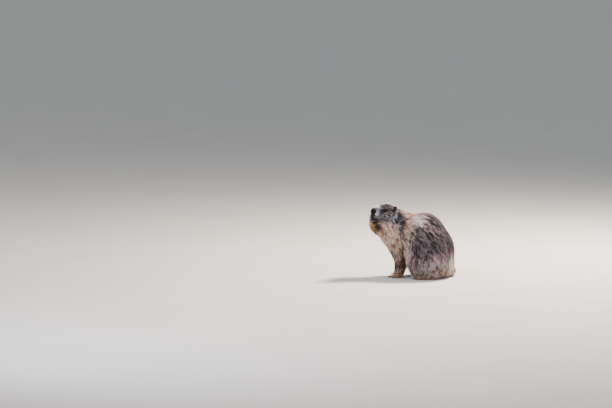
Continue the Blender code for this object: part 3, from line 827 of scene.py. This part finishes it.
# The coat
coatGroups = {
    "coatHead": ("head", "lower_jaw", "ear"),
    "coatNeck": ("neck",),
    "coatTrunk": ("trunk",),
    "coatHaunch": ("thigh",),
    "coatLimbs": ("shoulder", "foreleg", "forefoot", "hindfoot"),
    "coatTail": ("tail", "tail_tip"),
}
coatSettings = {
    "mostTriangles": 190000, "patch": 0.003, "floor": 0.0006, "rootLevel": 0.0016,
    "swirls": ((0.22, 0.030, 11), (0.16, 0.011, 12)), "wild": 0.16, "mostTurn": 0.15,
    "clumpPull": 0.60, "lockReach": 0.8, "guardShare": 0.15, "guardFine": 0.40,
    "lengthMood": 0.10, "lengthSpread": 0.14, "guardLong": 0.15,
    "stand": 0.86, "faceLow": 0.14, "moodHigh": 0.13, "spreadHigh": 0.11, "guardHigh": 0.26,
    "edgeLow": 0.26, "rise": 0.95, "forward": 0.38, "sunk": 0.4, "seen": 0.75, "roll": 0.5,
    "profile": (0.75, 1.0, 0.72),
}
# The edge numbers paint shade on the tufts at the outside of each lock.
toneSettings = {"mood": 0.72, "edge": 0.60, "lockShadeMiddle": 0.4, "spread": 0.12, "level": 0.88,
                "least": 0.22, "most": 2.6, "warm": 0.03, "darkMood": 1.2, "darkRoot": 0.75,
                "earDark": 0.1}
zoneSizes = {"muzzle": (-0.52, -0.30), "cheek": (0.55, 0.2), "nape": (0.9, 0.4), "lips": (-0.45, 0),
             "eye": (-0.55, -0.35), "hem": (0.55, 0)}  # what a zone adds to length and width


def scatterRoots():
    mesh = skin.data
    points, normals = coordsOf(mesh), normalsOf(mesh)
    tris = trianglesOf(mesh)
    a, b, c = (points[tris[:, i]] for i in range(3))
    area = np.linalg.norm(np.cross(b - a, c - a), axis=1) / 2 * 1e6
    density = ruleOf(skinKind, "density")[tris[:, 0]] * 1.0
    level = (points[tris][:, :, 2] < coatSettings["rootLevel"]).all(1)  # the flats it rests on
    wanted = area * density * np.clip(1 - bare[tris].mean(1) * 1.5, 0, 1) * ~level
    count = np.floor(wanted + rng.random(len(wanted))).astype(int)
    pick = np.repeat(np.arange(len(tris)), count)
    r1, r2 = np.sqrt(rng.random(len(pick))), rng.random(len(pick))
    share = np.stack([1 - r1, r1 * (1 - r2), r1 * r2], 1)
    corner = tris[pick]
    root = (points[corner] * share[:, :, None]).sum(1)
    normal = unit((normals[corner] * share[:, :, None]).sum(1))
    depth = (skinDepth[corner] * share).sum(1)
    sizes = (coatSizes[corner] * share[:, :, None]).sum(1)
    return root, normal, depth, sizes, skinKind[corner[:, 0]]


def sizesAt(root, sizes, kind):
    length, width = sizes.T
    f, u = inHead(root)[:, (0, 2)].T
    y, z = inBody(root)[:, 1:].T
    isHead, isFace = kind == "head", np.isin(kind, ("head", "lower_jaw"))
    fromMouth = np.abs(u - mouth["height"] + 0.004)
    zones = [
        ("muzzle", isFace * smoothStep(0.030, 0.056, f)),
        ("cheek", isHead * smoothStep(0.034, 0.010, f) * smoothStep(0.004, -0.022, u)),
        ("nape", isHead * smoothStep(0.000, -0.030, f)),
        ("lips", isFace * smoothStep(0.040, 0.050, f) * (1 - smoothStep(0.004, 0.009, fromMouth))),
    ]
    zones += [("eye", 1 - smoothStep(0.009, 0.017, away)) for away in awayFromEyes(root)]
    # The hem of the haunch and the rump's edge hang longer, as in the photo.
    low = smoothStep(0.075, 0.030, z) * (y > -0.03)
    zones.append(("hem", np.isin(kind, ("thigh", "trunk")) * low))
    for name, zone in zones:
        longer, wider = zoneSizes[name]
        length = length * (1 + longer * zone)
        width = width * (1 + wider * zone)
    return length, width


def combTufts():
    c = coatSettings
    root, normal, depth, sizes, kind = scatterRoots()
    count = len(root)
    length, width = sizesAt(root, sizes, kind)
    comb = combAt(root, normal, kind)
    side = unit(np.cross(normal, comb))
    swirl = sum(share * waves(root, scale, seed) for share, scale, seed in c["swirls"])
    turn = swirl + rng.normal(0, c["wild"], count)
    comb = unit(comb * np.cos(turn)[:, None] + side * np.sin(turn)[:, None])
    # Locks: each tuft leans to the tip of its nearest lock's leader and shares its mood.
    area = ruleOf(kind, "lockArea") * (width / (ruleOf(kind, "width") * mm)) ** 2
    lead = rng.random(count) < np.clip(1 / (ruleOf(kind, "density") * area), 0.02, 1)
    leaders = np.flatnonzero(lead)
    tree = pointTree(root[leaders])
    owner = leaders[np.array([tree.find(point)[1] for point in root])]
    mood = np.clip(rng.normal(0, 1, count), -2, 2)[owner]
    tip = root + comb * length[:, None]
    leaderTip = root[owner] + comb[owner] * length[owner][:, None]
    gap = np.linalg.norm(root[owner] - root, axis=1)
    edge = np.clip(gap / (c["lockReach"] * mm * np.sqrt(area)), 0, 1)  # 1 at the outside of a lock
    pull = c["clumpPull"] * np.clip(1 - gap / (length * 1.2), 0, 1)
    tip = tip + pull[:, None] * (leaderTip - tip)
    guard = rng.random(count) < c["guardShare"]  # finer hairs that stand past the rest
    length = length * np.clip(1 + c["lengthMood"] * mood + rng.normal(0, c["lengthSpread"], count)
                              + c["guardLong"] * guard, 0.6, 1.5)
    width = width * (1 - c["guardFine"] * guard)
    tip = root + unit(tip - root) * length[:, None]
    away = chartPlace(tip)[2]
    stray = (away * normal).sum(1) < c["mostTurn"]  # a tip that would lie on another limb
    tip[stray] = root[stray] + (tip[stray] - root[stray]) * 0.5
    spot, away = chartPlace(tip)[1:]
    face = np.isin(kind, ("head", "lower_jaw", "ear"))
    height = depth * np.clip(c["stand"] - c["faceLow"] * face + c["moodHigh"] * mood
                             + rng.normal(0, c["spreadHigh"], count) + c["guardHigh"] * guard
                             - c["edgeLow"] * edge, 0.22, 1.12)
    tip = spot + unit(away * 0.6 + normal * 0.4) * height[:, None]
    uv = np.clip(chartPlace(root)[0], 0.002, 0.998)
    return {"root": root, "normal": normal, "tip": tip, "width": width, "height": height,
            "comb": comb, "length": length, "kind": kind, "uv": uv, "mood": mood, "edge": edge}


tufts = combTufts()
print("tufts", len(tufts["root"]))


def colourTufts(points, mood, edge, kind):
    t = toneSettings
    colours, dark = marksAt(points)
    ears = kind == "ear"
    colours[ears] = markEars(points[ears], colours[ears])
    dark[ears] = t["earDark"]
    count = len(points)
    root, along, tip = (colours[:, layer] for layer in range(3))
    darkTip = (rng.random(count) < dark * np.clip(1 - t["darkMood"] * mood, 0.0, 2.4))[:, None]
    tip = np.where(darkTip, root * t["darkRoot"] + along * (1 - t["darkRoot"]), tip)
    along = np.where(darkTip, along * t["darkRoot"], along)
    # Tufts at a lock's outside are darker, as painted shade in the gaps between locks; mood varies the
    # tone at random.
    tone = np.exp(t["mood"] * mood - t["edge"] * (edge - t["lockShadeMiddle"])
                  + rng.normal(0, t["spread"], count)) * t["level"]
    tone = np.clip(tone, t["least"], t["most"])[:, None]
    warm = rng.normal(0, t["warm"], count)[:, None] * np.array((1.0, 0.1, -0.9))
    shaded = (part * tone * (1 + warm) for part in (root, along, tip))
    # A bleached tuft keeps some of its hue where it would grow too bright.
    return (np.minimum(1, part / np.maximum(1, part.max(1, keepdims=True)) ** 0.5)
            for part in shaded)


def tuftFaces(rings):  # a three-sided blade: its closed root, its rings and its point
    faces = [(0, 2, 1)]
    for low in range(0, 3 * (rings - 1), 3):
        for i in range(3):
            j = (i + 1) % 3
            faces += [(low + i, low + j, low + 3 + j), (low + i, low + 3 + j, low + 3 + i)]
    last = 3 * (rings - 1)
    faces += [(last + i, last + (i + 1) % 3, 3 * rings) for i in range(3)]
    return np.array(faces)


def growTufts(name, index, rings):
    c = coatSettings
    base, normal, end, width, height, comb, length, kind, uv, mood, edge = (
        value[index] for value in tufts.values())
    count = len(index)
    seen = base + (end - base) * c["seen"]  # markings are read where they show
    root, along, tip = colourTufts(seen, mood, edge, kind)
    start = base - normal * c["sunk"] * mm
    bend = base + normal * (height * c["rise"])[:, None] + comb * (length * c["forward"])[:, None]
    side = unit(np.cross(comb, normal))
    roll = rng.normal(0, c["roll"], count)[:, None]
    flatWay = unit(side * np.cos(roll) + normal * np.sin(roll))
    corners, colours, spots = [], [], []
    for ring in range(rings):
        s = ring / rings
        middle = (1 - s) ** 2 * start + 2 * s * (1 - s) * bend + s * s * end
        ahead = unit(2 * (1 - s) * (bend - start) + 2 * s * (end - bend))
        up = unit(np.cross(flatWay, ahead))
        wide = width[:, None] * c["profile"][ring] / 2
        lower, upper = min(1, 2 * s), max(0, 2 * s - 1)
        tint = root * (1 - lower) + along * (lower - upper) + tip * upper
        for a, h in ((-1, -0.25), (1, -0.25), (0, 0.45)):
            corners.append(middle + flatWay * wide * a + up * wide * h)
            colours.append(tint)
            spots.append(uv + np.array((a * 0.5, s - 0.5)) * c["patch"])
    corners = np.stack(corners + [end], 1)
    colours = np.stack(colours + [tip], 1).reshape(-1, 3)
    spots = np.stack(spots + [uv + np.array((0, 0.5)) * c["patch"]], 1).reshape(-1, 2)
    corners[:, :, 2] = np.maximum(corners[:, :, 2], c["floor"])
    each = corners.shape[1]
    faces = (tuftFaces(rings)[None] + (np.arange(count) * each)[:, None, None]).reshape(-1, 3)
    mesh = bpy.data.meshes.new(name)
    mesh.vertices.add(count * each)
    mesh.vertices.foreach_set("co", corners.reshape(-1).astype(np.float32))
    mesh.loops.add(faces.size)
    mesh.loops.foreach_set("vertex_index", faces.ravel().astype(np.int32))
    mesh.polygons.add(len(faces))
    mesh.polygons.foreach_set("loop_start", np.arange(0, faces.size, 3, dtype=np.int32))
    mesh.polygons.foreach_set("use_smooth", np.ones(len(faces), bool))
    mesh.update(calc_edges=True)
    addColours(mesh, colours)
    layer = mesh.uv_layers.new(name="OFBake")
    layer.data.foreach_set("uv", spots[faces.ravel()].astype(np.float32).ravel())
    mesh.materials.append(coatLook)
    made = placed(name, mesh)
    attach(made, "root")
    return len(faces)


total = 0
for group, kinds in coatGroups.items():
    for rings in (2, 3):
        chosen = [key for key in kinds if coatRules[key][ruleFields.index("rings")] == rings]
        index = np.flatnonzero(np.isin(tufts["kind"], chosen))
        if not len(index):
            continue
        spread = tufts["root"][index, 0] * 0.6 + tufts["root"][index, 1] * 0.4
        index = index[np.argsort(spread, kind="stable")]
        pieces = math.ceil(len(index) * len(tuftFaces(rings)) / coatSettings["mostTriangles"])
        for number, chunk in enumerate(np.array_split(index, pieces), 1):
            name = f"{group}_{rings}_{number}"
            count = growTufts(name, chunk, rings)
            total += count
            print(name, len(chunk), "tufts", count, "triangles")
print("coat triangles", total)

# Eyes
eyeColours = "#020202 #120A07 #060404"  # pupil, iris and edge


def buildEye(name, centre, axis, across, upward):
    shape = bmesh.new()
    bmesh.ops.create_uvsphere(shape, u_segments=40, v_segments=28, radius=eyeRules["radius"])
    for vert in shape.verts:  # the cornea bulges a little
        rise = vert.co.z / eyeRules["radius"]
        vert.co *= 1 + 0.02 * max(0, rise) ** 6
    layer = shape.verts.layers.float_color.new("eyeColour")
    pupil, iris, edge = linearAll(eyeColours)
    for vert in shape.verts:
        reach = math.hypot(vert.co.x, vert.co.y) / eyeRules["radius"]
        ring = smoothStep(0.30, 0.38, reach) * (1 - smoothStep(0.62, 0.74, reach))
        ring = ring if vert.co.z > 0 else 0
        tone = pupil * (1 - ring) + iris * ring if reach < 0.7 else edge
        vert[layer] = (*tone, 1)
    turn = Matrix((across, upward, axis)).transposed().to_4x4()
    shape.transform(Matrix.Translation(centre) @ turn)
    bmesh.ops.recalc_face_normals(shape, faces=shape.faces[:])
    made = finished(shape, name + "_look", eyeLook)
    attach(made, "root")
    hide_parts(name)


for facts in eyeFrames():
    buildEye(*facts)
print("eyes set")

# Nose pad: a flat heart, broad above and drawn in below
noseDents = {  # side and height of the middle, half sizes, slant and depth, as shares of the pad
    "nostril": ((0.46, -0.02), (0.17, 0.24), 0.35, 0.95),
    "tail": ((0.78, 0.12), (0.20, 0.09), 0, 0.30),
    "wing": ((0.62, -0.38), (0.22, 0.22), 0, -0.10),
}


def dentAt(name, side, u):  # 1 at the middle of a dent, 0 away from it
    middle, half, slant = noseDents[name][:3]
    a = (side - middle[0]) / half[0]
    b = (u - middle[1] - slant * (side - middle[0])) / half[1]
    return math.exp(-(a * a + b * b))


def buildNose():
    shape = bmesh.new()
    bmesh.ops.create_uvsphere(shape, u_segments=72, v_segments=48, radius=1.0)
    half = Vector(noseRules["half"])
    layer = shape.verts.layers.float.new("nostrilShade")  # near 0 inside the nostrils, 1 outside
    for vert in shape.verts:
        f, s, u = vert.co
        s *= 1 + 0.10 * u - 0.14 * max(0, -u)
        ahead, side = max(0.0, f), abs(s)
        onFront = ahead > 0.05
        dents = sum(dentAt(name, side, u) * noseDents[name][3] for name in noseDents)
        groove = math.exp(-(s / 0.055) ** 2) * smoothStep(0.15, -0.15, u)
        f -= noseRules["flatten"] * ahead * ahead
        f -= (dents + noseRules["groove"] * groove) * onFront
        # The nostrils' inside is darkened as painted shade.
        opening = 1.4 * dentAt("nostril", side, u) * onFront
        vert[layer] = 1 - noseRules["dark"] * min(1, opening)
        vert.co = Vector((f * half.x, s * half.y, u * half.z)) + Vector(noseRules["place"])
    shape.transform(headMatrix)
    bmesh.ops.recalc_face_normals(shape, faces=shape.faces[:])
    made = finished(shape, "nose_look", noseMaterial())
    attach(made, "root")
    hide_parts("nose_pad")


buildNose()
print("nose set")

# Claws
clawRules = {"swell": 0.0003, "levels": 2}


def buildClaws():
    made = joinedCopy(claws, "claws_look", clawRules["swell"], clawMaterial())
    rounding = made.modifiers.new("round", "SUBSURF")
    rounding.levels = clawRules["levels"]
    rounding.render_levels = clawRules["levels"]
    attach(made, "root")
    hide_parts(*claws)


buildClaws()
print("claws set")

# Whiskers
whiskerRules = {"rows": 4, "each": 5, "length": 0.050, "thick": 0.00024, "sides": 4, "steps": 7,
                "taper": 0.8, "droop": 0.30, "browEach": 2, "browLength": 0.011, "browSteps": 5,
                "browThick": 0.8, "browDroop": 0.004}


def headWay(f, s, u):  # a direction given in the head's frame
    return (headRotation @ Vector((f, s, u))).normalized()


def addHair(shape, root, way, fall, steps, thick):  # a tapering tube that sags towards its tip
    path = [root + way * (step / steps) + fall * (step / steps) ** 2 for step in range(steps + 1)]
    rings, sides = [], whiskerRules["sides"]
    for step, point in enumerate(path[:-1]):
        ahead = (path[step + 1] - point).normalized()
        across = ahead.orthogonal().normalized()
        upward = ahead.cross(across)
        radius = thick * (1 - whiskerRules["taper"] * step / steps)
        turns = [math.tau * i / sides for i in range(sides)]
        rings.append([shape.verts.new(
            point + radius * (across * math.cos(a) + upward * math.sin(a))) for a in turns])
    tip = shape.verts.new(path[-1])
    for near, far in zip(rings, rings[1:]):
        for i in range(sides):
            shape.faces.new((near[i], near[(i + 1) % sides], far[(i + 1) % sides], far[i]))
    for i in range(sides):
        shape.faces.new((rings[-1][i], rings[-1][(i + 1) % sides], tip))
    shape.faces.new(rings[0][::-1])


def buildWhiskers():
    w = whiskerRules
    local = np.random.default_rng(77)
    shape = bmesh.new()
    for side in (1, -1):
        for row in range(w["rows"]):
            for number in range(w["each"]):
                f, s = 0.066 - 0.0045 * number, 0.014 + 0.0016 * number
                u = -0.010 - 0.0048 * row + local.normal(0, 0.0006)
                long = w["length"] * (0.45 + 0.14 * number) * local.uniform(0.85, 1.1)
                rise = 0.22 - 0.20 * row + local.normal(0, 0.06)
                addHair(shape, headMatrix @ Vector((f, s * side, u)),
                        headWay(0.15 - 0.28 * number, side, rise) * long,
                        headWay(-1, 0, -0.35) * long * w["droop"], w["steps"], w["thick"])
        for number in range(w["browEach"]):  # a few over the eye
            addHair(shape, headMatrix @ Vector((0.030 - 0.004 * number, 0.024 * side, 0.020)),
                    headWay(0.1 - 0.3 * number, 0.5 * side, 1.0) * w["browLength"],
                    Vector((0, 0, -w["browDroop"])), w["browSteps"], w["thick"] * w["browThick"])
    bmesh.ops.recalc_face_normals(shape, faces=shape.faces[:])
    made = finished(shape, "whiskers", whiskerMaterial())
    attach(made, "root")


buildWhiskers()
print("whiskers set")

# Floor, light and camera
view = {"azimuth": 100, "elevation": 6, "distance": 12.0, "lens": 181.0, "left": -0.4126, "up": 0.2847}
lights = (  # name; metres right, up and towards the camera; size, watts and colour
    ("keySun", (1.2, 2.0, -0.7), 0.6, 235, "#FFF1DF"),
    ("fillSky", (-1.4, 1.3, 2.2), 2.2, 72, "#F4F5FF"),
    ("sideSoft", (1.6, 1.0, 1.7), 0.45, 22, "#FFF6EA"),
)
studio = {"air": "#E9EDF2", "airStrength": 0.52, "floorRadius": 40.0,
          "lightFrom": (0.015, 0, 0.14), "lightAim": (0.015, 0, 0.12)}


def viewAxes():
    a, e = math.radians(view["azimuth"]), math.radians(view["elevation"])
    toCamera = Vector((math.sin(a) * math.cos(e), -math.cos(a) * math.cos(e), math.sin(e)))
    right = Vector((math.cos(a), math.sin(a), 0))
    return toCamera, right, toCamera.cross(right)


def buildStage():
    shape = bmesh.new()
    bmesh.ops.create_circle(shape, cap_ends=True, segments=96, radius=studio["floorRadius"])
    finished(shape, "studioFloor", floorMaterial())
    world = bpy.data.worlds.new("studioAir")
    bpy.context.scene.world = world
    world.use_nodes = True
    air = world.node_tree.nodes["Background"]
    air.inputs["Color"].default_value = (*linear(studio["air"]), 1)
    air.inputs["Strength"].default_value = studio["airStrength"]


def addLight(name, way, size, power, colour):
    toCamera, right, up = viewAxes()
    spot = Vector(studio["lightFrom"]) + (right * way[0] + up * way[1] + toCamera * way[2])
    data = bpy.data.lights.new(name, "AREA")
    data.shape = "DISK"
    data.size = size
    data.energy = power
    data.color = linear(colour)
    made = placed(name, data)
    made.location = spot
    made.rotation_euler = (spot - Vector(studio["lightAim"])).to_track_quat("Z", "Y").to_euler()


def placeCamera():
    toCamera, right, up = viewAxes()
    data = bpy.data.cameras.new("photoCamera")
    data.sensor_width = 36
    data.lens = view["lens"]
    data.clip_end = 200
    made = placed("photoCamera", data)
    aim = bodyShift + right * view["left"] + up * view["up"]
    made.location = aim + toCamera * view["distance"]
    made.rotation_euler = toCamera.to_track_quat("Z", "Y").to_euler()
    bpy.context.scene.camera = made


buildStage()
for light in lights:
    addLight(*light)
placeCamera()
print("stage set")
